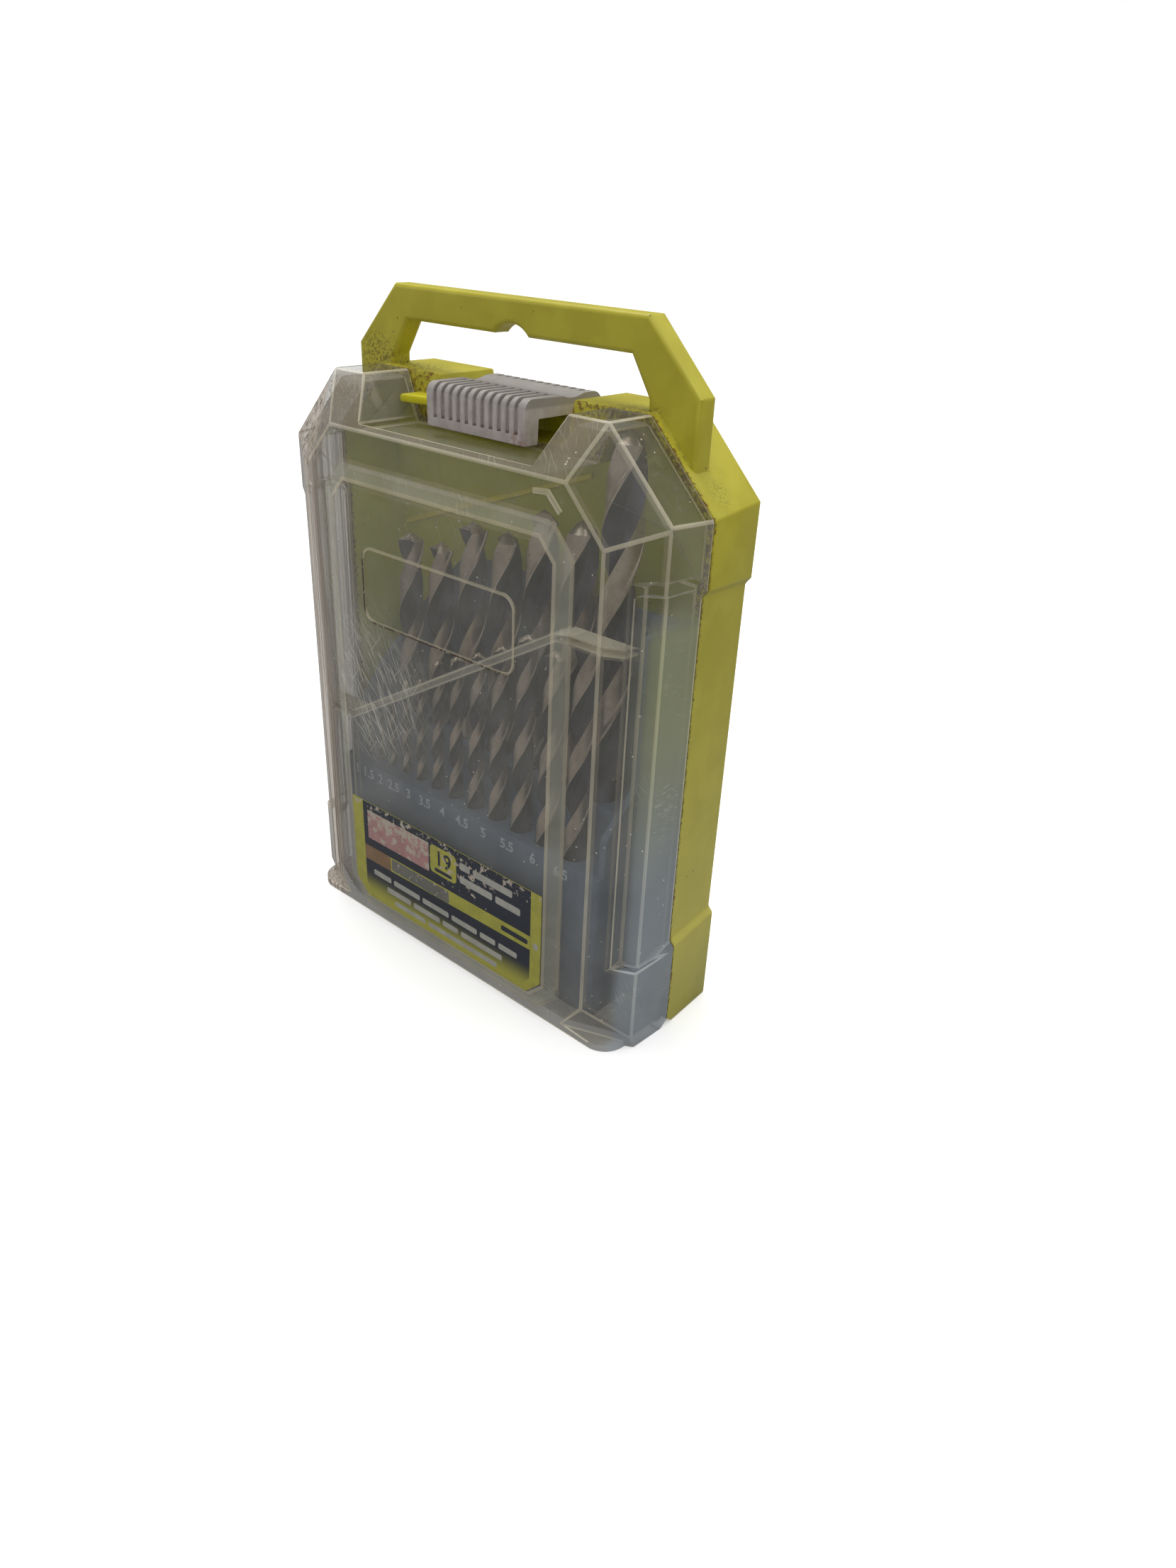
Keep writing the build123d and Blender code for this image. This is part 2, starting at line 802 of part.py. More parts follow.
with BuildPart() as bit_rack:
    # Stepped block
    with BuildSketch(Plane.YZ):
        with BuildLine():
            Polyline(
                (parting_y - rack_front_depth, rack_bottom_z),
                (parting_y - rack_front_depth, rack_front_top_z),
                (parting_y - rack_step_depth, rack_front_top_z),
                (parting_y - rack_step_depth, rack_rear_top_z),
                (parting_y + rack_back, rack_rear_top_z),
                (parting_y + rack_back, rack_bottom_z),
                close=True,
            )
        make_face()
    extrude(amount=rack_half_width, both=True)

    # Pockets in the back, between ribs
    pocket_pitch = (2 * rack_half_width - rack_rib) / rack_pockets
    pocket_height = rack_rear_top_z - rack_bottom_z - 2 * rack_pocket_floor
    with BuildSketch(at_y(parting_y + rack_back)):
        with Locations((0, (rack_rear_top_z + rack_bottom_z) / 2)):
            with GridLocations(pocket_pitch, 1, rack_pockets, 1):
                Rectangle(pocket_pitch - rack_rib, pocket_height)
    extrude(amount=rack_pocket_depth, mode=Mode.SUBTRACT)

    # Cheeks at both ends, the right one taller
    with BuildSketch(Plane.YZ.offset(-rack_half_width)):
        with BuildLine():
            Polyline(
                (parting_y - cheek_slope_depth, rack_bottom_z),
                (parting_y - cheek_slope_depth, cheek_front_z),
                (parting_y, cheek_middle_z),
                (parting_y + rack_back, cheek_back_z),
                (parting_y + rack_back, rack_bottom_z),
                close=True,
            )
        make_face()
    extrude(amount=cheek_thickness)
    with BuildSketch(Plane.YZ.offset(rack_half_width)):
        with BuildLine():
            Polyline(
                (parting_y - cheek_slope_depth, rack_bottom_z),
                (parting_y - cheek_slope_depth, cheek_front_z),
                (parting_y - support_front_depth, support_step_z),
                (parting_y - support_front_depth, support_top_z),
                (parting_y + support_back, support_top_z),
                (parting_y + support_back, rack_bottom_z),
                close=True,
            )
        make_face()
    extrude(amount=-cheek_thickness)

    # Panel behind the rear row
    panel_root_z = rack_rear_top_z - rack_pocket_floor
    with BuildSketch(at_y(parting_y + rack_back)):
        with BuildLine():
            Polyline(
                (-rack_half_width, panel_root_z),
                (-rack_half_width, rack_panel_low_z),
                (rack_panel_slope - rack_half_width, rack_panel_high_z),
                (rack_half_width, rack_panel_high_z),
                (rack_half_width, panel_root_z),
                close=True,
            )
        make_face()
    extrude(amount=rack_panel_thickness)

    # Pivots
    hub_end_x = rack_boss_start_x - rack_hub_gap
    pin_end_x = rack_boss_end_x - rack_pin_end_gap
    for end_x, radius in ((hub_end_x, rack_hub_radius), (pin_end_x, rack_pin_radius)):
        length = end_x - rack_half_width + cheek_thickness / 2
        rods([(end_x - length / 2, length)], rack_y, rack_axis_z, radius, 0, Mode.ADD)

    # Sockets
    for size, base in places.items():
        with BuildSketch(base.offset(-hole_floor_gap)):
            Circle(size / 2 + hole_clearance)
        extrude(amount=rack_rear_top_z, mode=Mode.SUBTRACT)

bit_rack.part.label = "bit_rack"
export_step(bit_rack.part, "parts/bit_rack.step")

# ---------------------------------------------------------------- label

with BuildPart() as label:
    with BuildSketch(at_y(panel_y)):
        with BuildLine():
            Polyline(
                *both_sides(
                    [
                        (label_half_width, label_top_z),
                        (label_half_width, label_bottom_z + label_corner),
                        (label_half_width - label_corner, label_bottom_z),
                    ]
                ),
                close=True,
            )
        make_face()
    extrude(amount=label_thickness)

label.part.label = "label"
export_step(label.part, "parts/label.step")
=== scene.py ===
"""Looks of the drill bit case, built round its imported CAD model."""

import math

import bmesh
import bpy
from mathutils import Matrix, Vector


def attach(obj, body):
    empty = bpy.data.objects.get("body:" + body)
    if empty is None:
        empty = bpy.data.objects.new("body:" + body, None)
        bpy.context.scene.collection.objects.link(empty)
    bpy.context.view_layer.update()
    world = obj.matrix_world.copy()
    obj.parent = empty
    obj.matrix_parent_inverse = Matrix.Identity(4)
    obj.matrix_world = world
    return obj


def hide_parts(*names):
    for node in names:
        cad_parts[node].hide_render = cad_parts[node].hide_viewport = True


MM = 0.001

# Places taken from the CAD model, in millimetres
PARTING_Y = 1.65
BORDER_Y = PARTING_Y - 21.4
PANEL_Y = BORDER_Y - 1.5
PANEL_HALF_WIDTH = 43.5
BEAD_LOW_Z = 136
RECESS_Z = 146.2
CATCH_HALF_WIDTH = 17
HINGE_Z = 2.3
HINGE_ROOM = 3.5
FRAME_LEFT_X = -26.4
FRAME_LOW_Z = 97.9

# The cover's slanted shelf: its middle line is z = SHELF_Z + SHELF_SLOPE * x
SHELF_SLOPE = 0.5814
SHELF_Z = 87.9
SHELF_HALF_WIDTH = 41.0
SHELF_LOW_Z = 60
SHELF_HIGH_Z = 112
SHELF_BACK_Y = PARTING_Y - 11

# The tray's hollow
WALL_Y = PARTING_Y + 18.0
HOLLOW_Y = PARTING_Y + 4
HOLLOW_TOP_Z = 150
INNER_SIDE_X = 55
OUTER_SIDE_X = 63.5

# The rack and its sockets
RACK_FACE_Y = PARTING_Y - 15.8
RACK_HALF_WIDTH = 50.0
FRONT_ROW_DEPTH = 10.7
REAR_ROW_DEPTH = 1.2
ROW_LEVEL_Z = 47.0
LEAN = math.radians(2.0)
FRONT_COUNT = 12
FRONT_INSET = 5.7
FRONT_GAP = 3.7
FRONT_BASE_Z = 24.0
FRONT_DROP = 18.0
REAR_INSET = 13.6
REAR_SPACING = 12.35
REAR_BASE_Z = 5.3
LARGEST_BASE_Z = 20.0

# Drills: diameter, then length and flute length
PITCH_RATIO = 6.2
LENGTHS = {
    1.0: (34, 12),
    1.5: (40, 18),
    2.0: (49, 24),
    2.5: (57, 30),
    3.0: (61, 33),
    3.5: (70, 39),
    4.0: (75, 43),
    4.5: (80, 47),
    5.0: (86, 52),
    5.5: (93, 57),
    6.0: (93, 57),
    6.5: (101, 63),
    7.0: (109, 69),
    7.5: (109, 69),
    8.0: (117, 75),
    8.5: (117, 75),
    9.0: (125, 81),
    9.5: (125, 81),
    10.0: (133, 87),
}

# Which look a face of the cover gets, by its material index
CLEAR_FACE, BAND_FACE, EDGE_FACE, FRAME_FACE, INNER_EDGE_FACE, TOP_FACE, CATCH_FACE, SHELF_FACE = range(8)
ROUNDED_FACES = (EDGE_FACE, INNER_EDGE_FACE)

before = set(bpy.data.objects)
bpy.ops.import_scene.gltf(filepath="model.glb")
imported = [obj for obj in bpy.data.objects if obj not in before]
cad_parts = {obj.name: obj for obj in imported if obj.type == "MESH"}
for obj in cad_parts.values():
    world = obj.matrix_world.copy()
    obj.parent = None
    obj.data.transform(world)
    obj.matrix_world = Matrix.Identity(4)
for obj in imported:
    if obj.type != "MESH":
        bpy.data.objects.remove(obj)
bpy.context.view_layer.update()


# ---------------------------------------------------------------- node tools


def rgb(red, green, blue):
    """Linear colour from 0-255 display values."""
    linear = []
    for value in (red, green, blue):
        share = value / 255
        linear.append(share / 12.92 if share <= 0.04045 else ((share + 0.055) / 1.055) ** 2.4)
    return (*linear, 1.0)


def darker(colour, share):
    """A colour with its three parts scaled."""
    return tuple(share * part for part in colour[:3]) + (1.0,)


class Look:
    """One material and short calls for its nodes."""

    def __init__(self, name):
        self.material = bpy.data.materials.new(name)
        self.material.use_nodes = True
        self.tree = self.material.node_tree
        self.tree.nodes.clear()
        self.output = self.tree.nodes.new("ShaderNodeOutputMaterial")
        self.place = self.tree.nodes.new("ShaderNodeTexCoord").outputs["Object"]

    def put(self, socket, value):
        """Links an output to a socket, or sets the socket to a number or colour."""
        if isinstance(value, bpy.types.NodeSocket):
            self.tree.links.new(value, socket)
        else:
            socket.default_value = value

    def math(self, operation, first, second=0.0, clamp=False):
        """Result of a sum on two values."""
        node = self.tree.nodes.new("ShaderNodeMath")
        node.operation = operation
        node.use_clamp = clamp
        self.put(node.inputs[0], first)
        self.put(node.inputs[1], second)
        return node.outputs[0]

    def spread(self, value, low, high, out_low=0.0, out_high=1.0):
        """Smooth step of a value between two levels."""
        node = self.tree.nodes.new("ShaderNodeMapRange")
        node.interpolation_type = "SMOOTHSTEP"
        for socket, item in zip(node.inputs, (value, low, high, out_low, out_high)):
            self.put(socket, item)
        return node.outputs[0]

    def blend(self, share, first, second):
        """Mix of two colours."""
        node = self.tree.nodes.new("ShaderNodeMix")
        node.data_type = "RGBA"
        self.put(node.inputs[0], share)
        self.put(node.inputs[6], first)
        self.put(node.inputs[7], second)
        return node.outputs[2]

    def mapped(self, turn=(0, 0, 0), scale=(1, 1, 1)):
        """Place turned about the axes, in degrees, and then scaled along them."""
        node = self.tree.nodes.new("ShaderNodeMapping")
        node.vector_type = "TEXTURE"
        node.inputs["Rotation"].default_value = [math.radians(angle) for angle in turn]
        node.inputs["Scale"].default_value = [1 / value for value in scale]
        self.put(node.inputs["Vector"], self.place)
        return node.outputs[0]

    def noise(self, scale, detail=3.0, rough=0.55, where=None):
        """Cloudy noise; the scale is in lumps per metre."""
        node = self.tree.nodes.new("ShaderNodeTexNoise")
        node.inputs["Scale"].default_value = scale
        node.inputs["Detail"].default_value = detail
        node.inputs["Roughness"].default_value = rough
        self.put(node.inputs["Vector"], where or self.place)
        return node.outputs["Fac"]

    def specks(self, scale, size):
        """Small round specks, scattered."""
        node = self.tree.nodes.new("ShaderNodeTexVoronoi")
        node.inputs["Scale"].default_value = scale
        self.put(node.inputs["Vector"], self.place)
        return self.spread(node.outputs["Distance"], size, size * 0.6)

    def near(self, centre, radius, stretch=(1, 1, 1)):
        """1 at a place given in millimetres, falling to 0 at the radius."""
        node = self.tree.nodes.new("ShaderNodeMapping")
        node.vector_type = "TEXTURE"
        node.inputs["Location"].default_value = [value * MM for value in centre]
        node.inputs["Scale"].default_value = [value * radius * MM for value in stretch]
        self.put(node.inputs["Vector"], self.place)
        length = self.tree.nodes.new("ShaderNodeVectorMath")
        length.operation = "LENGTH"
        self.put(length.inputs[0], node.outputs[0])
        return self.spread(length.outputs["Value"], 1.0, 0.25)

    def axis(self, name):
        """One coordinate of the place, in metres."""
        node = self.tree.nodes.new("ShaderNodeSeparateXYZ")
        self.put(node.inputs[0], self.place)
        return node.outputs[name]

    def past(self, name, start, full):
        """0 up to a coordinate in millimetres, rising to 1 at the other."""
        return self.spread(self.axis(name), start * MM, full * MM)

    def corner_shade(self, distance):
        """Painted shade from ambient occlusion: 1 in corners and grooves, 0 on open faces."""
        node = self.tree.nodes.new("ShaderNodeAmbientOcclusion")
        node.samples = 4
        node.inputs["Distance"].default_value = distance * MM
        return self.spread(node.outputs["AO"], 0.85, 0.35)

    def bump(self, height, strength, distance):
        """Normal with fine relief."""
        node = self.tree.nodes.new("ShaderNodeBump")
        node.inputs["Strength"].default_value = strength
        node.inputs["Distance"].default_value = distance * MM
        self.put(node.inputs["Height"], height)
        return node.outputs[0]

    def finish(self, **values):
        """Principled shader with the named inputs."""
        shader = self.tree.nodes.new("ShaderNodeBsdfPrincipled")
        for name, value in values.items():
            self.put(shader.inputs[name.replace("_", " ")], value)
        self.tree.links.new(shader.outputs[0], self.output.inputs[0])
        return self.material


# ---------------------------------------------------------------- green plastic

# Where dirt has gathered on the shell: centre, radius and stretch, in millimetres
SHELL_DIRT = [
    ((-48, 2, 158), 11, (1, 1, 0.9)),
    ((-36, 5, 157.5), 10, (1.4, 1.2, 0.2)),
    ((38, 2, 157.6), 10, (1.3, 1, 0.2)),
    ((57, 8, 139), 7, (1, 1, 1)),
    ((0, PARTING_Y, 146.5), 22, (1, 0.5, 0.12)),
]
# Painted highlight: middle of a bright yellow patch on the lit top of the ledge by the latch, in millimetres
TONGUE_HIGHLIGHT = (-24, PARTING_Y - 3, 151)


def shell_dirt_and_shade(look):
    """Shares of all dirt with the painted shade in corners, and of the dirt along the parting line."""
    grime = look.noise(1500, 6, 0.75)
    dirty = 0.0
    for centre, radius, stretch in SHELL_DIRT:
        dirty = look.math("MAXIMUM", dirty, look.near(centre, radius, stretch))
    smudge = look.math("MULTIPLY", dirty, look.spread(grime, 0.47, 0.6))
    specks = look.math("MULTIPLY", look.spread(grime, 0.66, 0.74), 0.35)
    smudge = look.math("ADD", smudge, specks, True)
    away = look.math("ABSOLUTE", look.math("SUBTRACT", look.axis("Y"), (PARTING_Y + 0.2) * MM))
    grit = look.spread(look.noise(900, 6, 0.75), 0.48, 0.6)
    seam = look.math("MULTIPLY", look.spread(away, 0.7 * MM, 0.1 * MM), grit)
    # Dirt and painted shade: darker in corners, from ambient occlusion broken up by noise
    corner = look.math("MULTIPLY", look.corner_shade(1.6), look.spread(look.noise(600, 4), 0.4, 0.6))
    return look.math("MAXIMUM", smudge, look.math("MAXIMUM", seam, corner)), seam


def shell_look(name, dark, light):
    """Green plastic, paler towards the foot, with a painted highlight on the ledge by the latch, dirt and
    painted shade in its corners, and a few rust specks.
    """
    look = Look(name)
    colour = look.blend(look.spread(look.noise(90, 4), 0.35, 0.65), dark, light)
    pale = look.math("MULTIPLY", look.past("Z", 120, 20), 0.5)
    colour = look.blend(pale, colour, rgb(196, 190, 112))
    # Painted highlight: brighter yellow on the ledge's lit top
    colour = look.blend(look.near(TONGUE_HIGHLIGHT, 12, (1, 1, 0.16)), colour, rgb(222, 214, 22))
    dirt, seam = shell_dirt_and_shade(look)
    # Dirt, with the painted shade in corners, darkens the green
    colour = look.blend(look.math("MULTIPLY", dirt, 0.85), colour, rgb(74, 58, 26))
    colour = look.blend(look.math("MULTIPLY", seam, 0.7), colour, rgb(138, 92, 30))
    rust = look.math("MULTIPLY", look.specks(330, 0.1), look.spread(look.noise(60), 0.55, 0.6))
    colour = look.blend(look.math("MULTIPLY", rust, 0.8), colour, rgb(104, 62, 24))
    return look.finish(
        Base_Color=colour,
        Roughness=look.spread(dirt, 0.0, 1.0, 0.42, 0.62),
        Normal=look.bump(look.noise(4200, 3, 0.7), 0.12, 0.05),
        Subsurface_Weight=0.04,
        Subsurface_Radius=(0.002, 0.002, 0.0006),
    )


# ---------------------------------------------------------------- clear plastic

# Scratches: turn about the depth axis in degrees, scale along the axes, and the two levels of their noise
SCRATCHES = [
    (38, (2400, 300, 60), 0.67, 0.74),
    (-24, (2900, 300, 90), 0.6, 0.68),
    (-47, (2600, 300, 110), 0.62, 0.7),
]
WORN_CORNER = (-26, PANEL_Y, 78)


def scratches_in(look, corner):
    """Fine scratches, in patches and all over the worn corner."""
    scratches = 0.0
    for turn, scale, low, high in SCRATCHES:
        streak = look.spread(look.noise(1.0, 2, 0.5, look.mapped((0, turn, 0), scale)), low, high)
        scratches = look.math("MAXIMUM", scratches, streak)
    patch = look.math("MULTIPLY", look.spread(look.noise(38, 3), 0.5, 0.66), 0.3)
    return look.math("MULTIPLY", scratches, look.math("MAXIMUM", patch, corner))


def shelf_line_in(look):
    """Painted highlight: the bright double line where the slanted shelf meets the inside of the panel."""
    climb = look.math("SUBTRACT", look.axis("Z"), look.math("MULTIPLY", look.axis("X"), SHELF_SLOPE))
    away = look.math("ABSOLUTE", look.math("SUBTRACT", climb, SHELF_Z * MM))
    middle = look.spread(away, 0.9 * MM, 0.6 * MM, 0.0, 0.65)
    line = look.math("SUBTRACT", look.spread(away, 1.5 * MM, 1.1 * MM), middle)
    line = look.math("MULTIPLY", line, look.past("Y", PANEL_Y + 0.5, PANEL_Y + 0.9))
    aside = look.math("ABSOLUTE", look.axis("X"))
    within = look.spread(aside, (SHELF_HALF_WIDTH + 0.5) * MM, (SHELF_HALF_WIDTH - 0.5) * MM)
    return look.math("MULTIPLY", line, within)


def cover_look(name, tint, solid, glance, rough):
    """Clear plastic: tint shows by the share solid face on, and by glance at its edges of view."""
    look = Look(name)
    facing = look.tree.nodes.new("ShaderNodeLayerWeight")
    facing.inputs["Blend"].default_value = 0.35
    slope = look.math("POWER", facing.outputs["Facing"], 2.0)
    haze = look.spread(look.noise(30, 3, 0.5), 0.35, 0.7)
    corner = look.near(WORN_CORNER, 34, (0.9, 1, 1))
    scratches = scratches_in(look, corner)
    dots = look.math("MULTIPLY", look.specks(340, 0.085), look.spread(look.noise(60), 0.51, 0.55))
    # Painted reflection: the side walls are made hazier and tinted, beige on the left, blue-grey low and
    # greenish high on the right; the foot is made hazier too
    left = look.past("X", -45, -49)
    right = look.math("MULTIPLY", look.past("X", 56.5, 60), look.past("Z", 122, 112))
    walls = look.math("MAXIMUM", look.math("MAXIMUM", left, right), look.past("Z", 9, 4))
    streaks = look.spread(look.noise(1.0, 2, 0.5, look.mapped((0, 0, 0), (1500, 1500, 7))), 0.52, 0.6)
    streaks = look.math("MULTIPLY", streaks, left)
    shelf = shelf_line_in(look)

    share = look.math("ADD", look.math("MULTIPLY", slope, glance), solid)
    layers = [
        (streaks, 0.25),
        (shelf, 0.35),
        (corner, 0.1),
        (walls, 0.36),
        (haze, 0.05),
        (scratches, 0.3),
        (dots, 0.7),
    ]
    for layer, weight in layers:
        share = look.math("ADD", share, look.math("MULTIPLY", layer, weight), True)

    colour = look.blend(look.spread(look.noise(60, 4), 0.35, 0.7), darker(tint, 0.82), tint)
    # Painted reflection tints for the right side wall, blue-grey low and greenish high
    side_reflection_tone = look.blend(look.past("Z", 40, 100), rgb(172, 184, 196), rgb(194, 200, 150))
    colour = look.blend(look.math("MULTIPLY", left, 0.8), colour, rgb(238, 221, 202))
    colour = look.blend(look.math("MULTIPLY", right, 0.7), colour, side_reflection_tone)
    colour = look.blend(look.math("MULTIPLY", streaks, 0.8), colour, rgb(104, 94, 76))
    # Painted highlight along the shelf's line
    colour = look.blend(shelf, colour, rgb(240, 234, 208))
    colour = look.blend(look.math("MAXIMUM", scratches, dots), colour, rgb(240, 234, 220))
    return look.finish(
        Base_Color=colour,
        Roughness=rough,
        IOR=1.5,
        Alpha=share,
        Normal=look.bump(look.noise(500, 2), 0.04, 0.05),
    )


def frame_line_look():
    """Edge of the raised frame, near white and half solid as a painted highlight, with dirt held along its
    left and lower lines.
    """
    look = Look("frame_line")
    grit = look.spread(look.noise(900, 5, 0.7), 0.36, 0.48)
    left = look.past("X", FRAME_LEFT_X, FRAME_LEFT_X - 0.6)
    low = look.past("Z", FRAME_LOW_Z, FRAME_LOW_Z - 0.7)
    dirt = look.math("MULTIPLY", look.math("MAXIMUM", left, low), grit)
    return look.finish(
        # Painted highlight: near white frame edges; dirt darkens the left and lower lines
        Base_Color=look.blend(dirt, rgb(236, 226, 198), rgb(60, 42, 30)),
        Roughness=0.3,
        Alpha=look.math("ADD", look.math("MULTIPLY", dirt, 0.5), 0.44),
    )


# ---------------------------------------------------------------- latch, rack, steel and print


def latch_look():
    """Warm grey plastic, darker on its top and in its grooves as painted shade, with dirt and a red rub."""
    look = Look("latch_grey")
    colour = look.blend(look.spread(look.noise(240, 4), 0.35, 0.65), rgb(186, 177, 172), rgb(202, 194, 190))
    # Painted shade: the latch's top is darkened
    top = look.math("MULTIPLY", look.past("Z", 154.4, 155.2), 0.75)
    colour = look.blend(top, colour, rgb(152, 148, 142))
    grit = look.spread(look.noise(2600, 5, 0.75), 0.56, 0.66)
    low = look.near((15, PARTING_Y + 4, 148), 9, (0.4, 1.6, 0.8))
    grime = look.math("MULTIPLY", grit, look.math("ADD", look.math("MULTIPLY", low, 0.9), 0.12))
    # Painted shade in the grooves, from ambient occlusion
    groove = look.math("MULTIPLY", look.corner_shade(0.9), 0.85)
    colour = look.blend(look.math("MAXIMUM", grime, groove), colour, rgb(58, 44, 36))
    rub = look.near((14, PARTING_Y - 9, 147), 5)
    rub = look.math("MULTIPLY", rub, look.spread(look.noise(700), 0.4, 0.6))
    colour = look.blend(look.math("MULTIPLY", rub, 0.5), colour, rgb(150, 96, 84))
    return look.finish(Base_Color=colour, Roughness=0.48, Normal=look.bump(look.noise(3800, 3), 0.1, 0.04))


def rack_look():
    """Dark blue-grey plastic with a little dust."""
    look = Look("rack_blue_grey")
    cloud = look.spread(look.noise(120, 5), 0.35, 0.65)
    colour = look.blend(cloud, rgb(100, 116, 136), rgb(112, 128, 148))
    dust = look.math("MULTIPLY", look.spread(look.noise(1700, 5, 0.7), 0.64, 0.74), 0.14)
    colour = look.blend(dust, colour, rgb(112, 110, 104))
    return look.finish(Base_Color=colour, Roughness=0.5, Normal=look.bump(look.noise(3000, 3), 0.08, 0.04))


def steel_look(name, dark, light, rough, metal):
    """Steel with brown spots, painted shade in its hollows and faint rings across its length."""
    look = Look(name)
    cloud = look.spread(look.noise(150, 3, 0.5), 0.36, 0.64)
    colour = look.blend(cloud, dark, light)
    spots = look.math("MULTIPLY", look.spread(look.noise(1500, 4, 0.65), 0.6, 0.68), 0.5)
    colour = look.blend(spots, colour, rgb(58, 40, 32))
    # Painted shade: darker in hollows, from ambient occlusion
    hollow_shade = look.math("MULTIPLY", look.corner_shade(1.6), 0.55)
    colour = look.blend(hollow_shade, colour, rgb(52, 42, 36))
    rings = look.noise(1.0, 2, 0.5, look.mapped((0, 0, 0), (500, 500, 9000)))
    return look.finish(
        Base_Color=colour,
        Metallic=metal,
        Roughness=look.spread(cloud, 0.0, 1.0, rough, rough + 0.16),
        Normal=look.bump(rings, 0.025, 0.02),
    )


def film_look(name, colour, wear=0.0, fade=None):
    """Printed film, chipped to the bare backing; fade gives a low colour and the heights where it starts."""
    look = Look(name)
    base = look.blend(look.spread(look.noise(300, 4), 0.35, 0.65), colour, darker(colour, 0.86))
    if fade:
        low_colour, full_z, start_z = fade
        base = look.blend(look.past("Z", start_z, full_z), base, low_colour)
    chips = look.noise(420, 6, 0.68)
    upper = look.past("Z", 26, 42)
    middle = look.near((8, PANEL_Y, 36), 22, (1, 1, 0.8))
    weak = look.math("MULTIPLY", look.math("MAXIMUM", upper, middle), 0.16)
    level = look.math("SUBTRACT", 0.72 - wear, weak)
    bare = look.spread(look.math("SUBTRACT", chips, level), 0.0, 0.015)
    base = look.blend(bare, base, rgb(196, 184, 168))
    dust = look.math("MULTIPLY", look.spread(look.noise(2100, 4, 0.7), 0.6, 0.68), 0.25)
    base = look.blend(dust, base, rgb(170, 160, 145))
    return look.finish(
        Base_Color=base,
        Roughness=look.spread(bare, 0.0, 1.0, 0.34, 0.7),
        Normal=look.bump(look.math("SUBTRACT", 1.0, bare), 0.2, 0.05),
    )


def plain_look(name, colour, other, scale, rough):
    """Two close tones of one material, mixed."""
    look = Look(name)
    mixed = look.blend(look.spread(look.noise(scale, 4), 0.35, 0.65), colour, other)
    grain = look.bump(look.noise(scale * 9, 3), 0.06, 0.05)
    return look.finish(Base_Color=mixed, Roughness=rough, Normal=grain)


GREEN = shell_look("shell_green", rgb(188, 178, 44), rgb(199, 190, 54))
# Painted light: a brighter, more saturated copy of the green for the tray's inner faces, which the lamps
# leave too dark
GREEN_INSIDE_LIT = shell_look("shell_green_inside_painted_light", rgb(208, 210, 34), rgb(218, 220, 44))
CLEAR = cover_look("cover_clear", rgb(192, 190, 182), 0.12, 0.62, 0.1)
# Painted reflection: the tilted bevel bands are more solid and paler for the light they reflect
BAND = cover_look("cover_band_painted_reflection", rgb(206, 204, 186), 0.44, 0.4, 0.16)
# Painted highlights: the rounded edges, outer and inner, are more solid and near white for the light the
# clear plastic's edges catch
EDGE = cover_look("cover_edge_painted_highlight", rgb(240, 230, 204), 0.46, 0.3, 0.16)
INNER_EDGE = cover_look("cover_inner_edge_painted_highlight", rgb(206, 198, 176), 0.3, 0.35, 0.16)
TOP = cover_look("cover_top", rgb(120, 116, 84), 0.06, 0.4, 0.1)
CATCH = cover_look("cover_catch", rgb(150, 138, 116), 0.6, 0.2, 0.4)
# Painted highlight: the slanted shelf's faces are nearly solid and pale
SHELF = cover_look("cover_shelf_painted_highlight", rgb(240, 234, 208), 0.72, 0.2, 0.16)
FRAME_LINE = frame_line_look()
LATCH = latch_look()
RACK = rack_look()
STEEL = steel_look("drill_steel", rgb(178, 163, 146), rgb(204, 188, 170), 0.3, 0.75)
# Painted shade: a dark copy of the steel for the flutes and the shanks, for the dark surroundings the flutes
# reflect
FLUTE = steel_look("drill_flute_painted_shade", rgb(58, 58, 70), rgb(74, 72, 82), 0.3, 0.75)
GROUND = steel_look("drill_ground_tip", rgb(158, 146, 130), rgb(190, 178, 160), 0.28, 0.75)
PIN = steel_look("pin_steel", rgb(150, 148, 145), rgb(176, 174, 170), 0.3, 0.9)


# ---------------------------------------------------------------- mesh tools

SHARP_ANGLE = math.radians(18)
SHORTEST_EDGE = 2.0


def to_object(name, bm, materials):
    """Object made of a finished mesh."""
    mesh = bpy.data.meshes.new(name)
    bm.to_mesh(mesh)
    bm.free()
    piece = bpy.data.objects.new(name, mesh)
    bpy.context.scene.collection.objects.link(piece)
    for material in materials:
        mesh.materials.append(material)
    return piece


def soften(bm, angle):
    """Smooth shading, with edges sharper than the angle kept sharp."""
    for face in bm.faces:
        face.smooth = True
    for edge in bm.edges:
        edge.smooth = len(edge.link_faces) == 2 and edge.calc_face_angle(math.pi) < angle


def can_be_rounded(edge, convex):
    """Whether an edge is sharp, long, clear of the hinge and not beside a rounded one."""
    if len(edge.link_faces) != 2 or edge.is_convex != convex:
        return False
    if any(face.material_index in ROUNDED_FACES for face in edge.link_faces):
        return False
    for corner in edge.verts:
        if math.hypot(corner.co.y / MM - PARTING_Y, corner.co.z / MM - HINGE_Z) < HINGE_ROOM:
            return False
    return edge.calc_face_angle(0) > SHARP_ANGLE and edge.calc_length() > SHORTEST_EDGE * MM


def rounded_edges(bm, width, segments, material, convex):
    """Rounds the longer sharp edges, either those that stand out or those in corners."""
    bmesh.ops.bevel(
        bm,
        geom=[edge for edge in bm.edges if can_be_rounded(edge, convex)],
        offset=width * MM,
        segments=segments,
        profile=0.5,
        affect="EDGES",
        clamp_overlap=False,
        material=material,
    )
    bm.normal_update()


